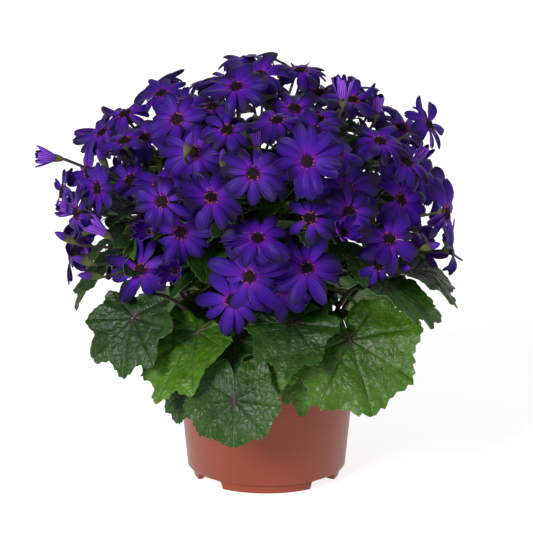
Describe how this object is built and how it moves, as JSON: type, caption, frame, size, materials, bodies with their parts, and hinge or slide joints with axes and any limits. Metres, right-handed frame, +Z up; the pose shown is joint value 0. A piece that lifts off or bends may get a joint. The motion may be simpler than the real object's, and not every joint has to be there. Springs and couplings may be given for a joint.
{
  "type": "potted cineraria",
  "caption": "Flowering pot plant: a dome of violet daisy heads on branched stems over lobed leaves, in a low round plastic pot with soil.",
  "frame": {"origin": "middle of the surface that the pot's feet stand on, straight below the centre of the pot's base", "axes": "+Z up along the pot's axis, -Y towards the viewer of the picture, +X to the viewer's right"},
  "size_m": [0.3377, 0.3241, 0.3475],
  "materials": {
    "pot": "satin terracotta-coloured plastic",
    "soil": "damp peat-like potting soil",
    "leaf": "glossy, puckered green leaf",
    "flower": "velvety violet petals",
    "disc": "dark florets with orange pollen",
    "stem": "downy green stems flushed with purple"
  },
  "bodies": {
    "root": {"pot": "pot", "soil": "soil", "leaf_left_front": "leaf", "leaf_light_left": "leaf", "leaf_small_left": "leaf", "leaf_blue_front": "leaf", "leaf_round_front": "leaf", "leaf_light_front": "leaf", "leaf_dark_front": "leaf", "leaf_hanging_front": "leaf", "leaf_right_front": "leaf", "leaf_right": "leaf", "leaf_right_high": "leaf", "leaf_left_high": "leaf", "leaf_far_1": "leaf", "leaf_far_2": "leaf", "leaf_far_3": "leaf", "leaf_far_4": "leaf", "leaf_far_5": "leaf", "leaf_far_6": "leaf", "leaf_far_7": "leaf", "leaf_far_8": "leaf", "leaf_far_9": "leaf", "leaf_far_10": "leaf", "leaf_far_11": "leaf", "spray_01": "flower", "spray_02": "flower", "spray_03": "flower", "spray_04": "flower", "spray_05": "flower", "spray_06": "flower", "spray_07": "flower", "spray_08": "flower", "spray_09": "flower", "spray_10": "flower", "spray_11": "flower", "spray_12": "flower", "spray_13": "flower", "spray_14": "flower", "spray_15": "flower", "spray_16": "flower", "spray_17": "flower"}
  },
  "joints": []
}
